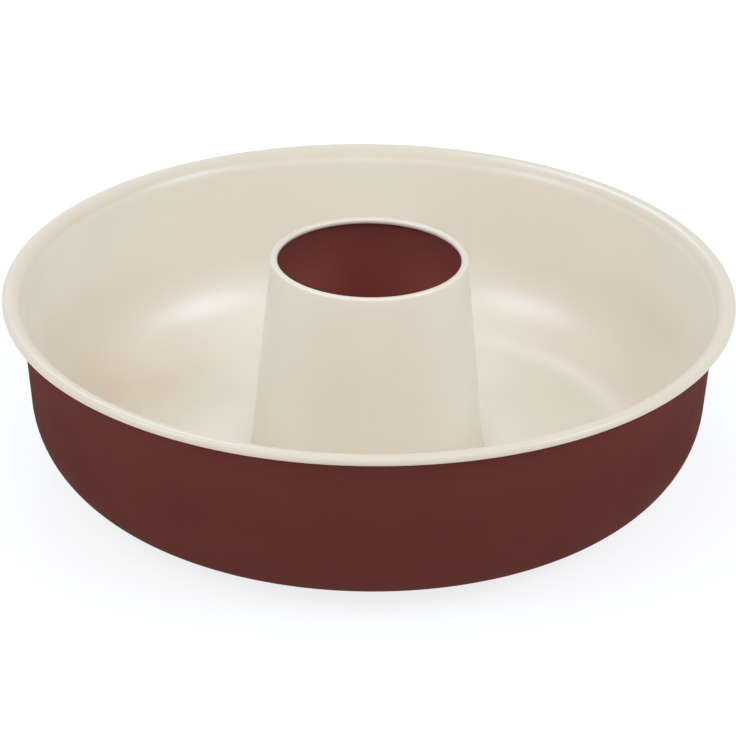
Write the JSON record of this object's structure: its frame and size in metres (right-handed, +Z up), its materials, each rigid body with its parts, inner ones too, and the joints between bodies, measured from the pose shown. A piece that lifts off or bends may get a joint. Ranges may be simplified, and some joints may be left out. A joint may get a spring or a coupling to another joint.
{
  "type": "ring cake pan",
  "caption": "Round ring cake pan with a rolled rim, rounded corner and an open conical centre tube, cream inside and brown outside.",
  "frame": {"origin": "centre of the pan on the plane it stands on", "axes": "+Z up along the pan's axis, out of the tube's mouth; the pan is round, so +X and +Y are any two directions square to it"},
  "size_m": [0.298, 0.298, 0.0921],
  "materials": {
    "brown_lacquer": "satin red-brown lacquer on sheet aluminium, with the cream ceramic coating on the sheet's inner side",
    "cream_ceramic": "smooth semi-gloss cream ceramic coating on sheet aluminium, with red-brown lacquer on the sheet's other side"
  },
  "bodies": {
    "root": {"pan_body": "brown_lacquer", "centre_tube": "cream_ceramic"}
  },
  "joints": []
}
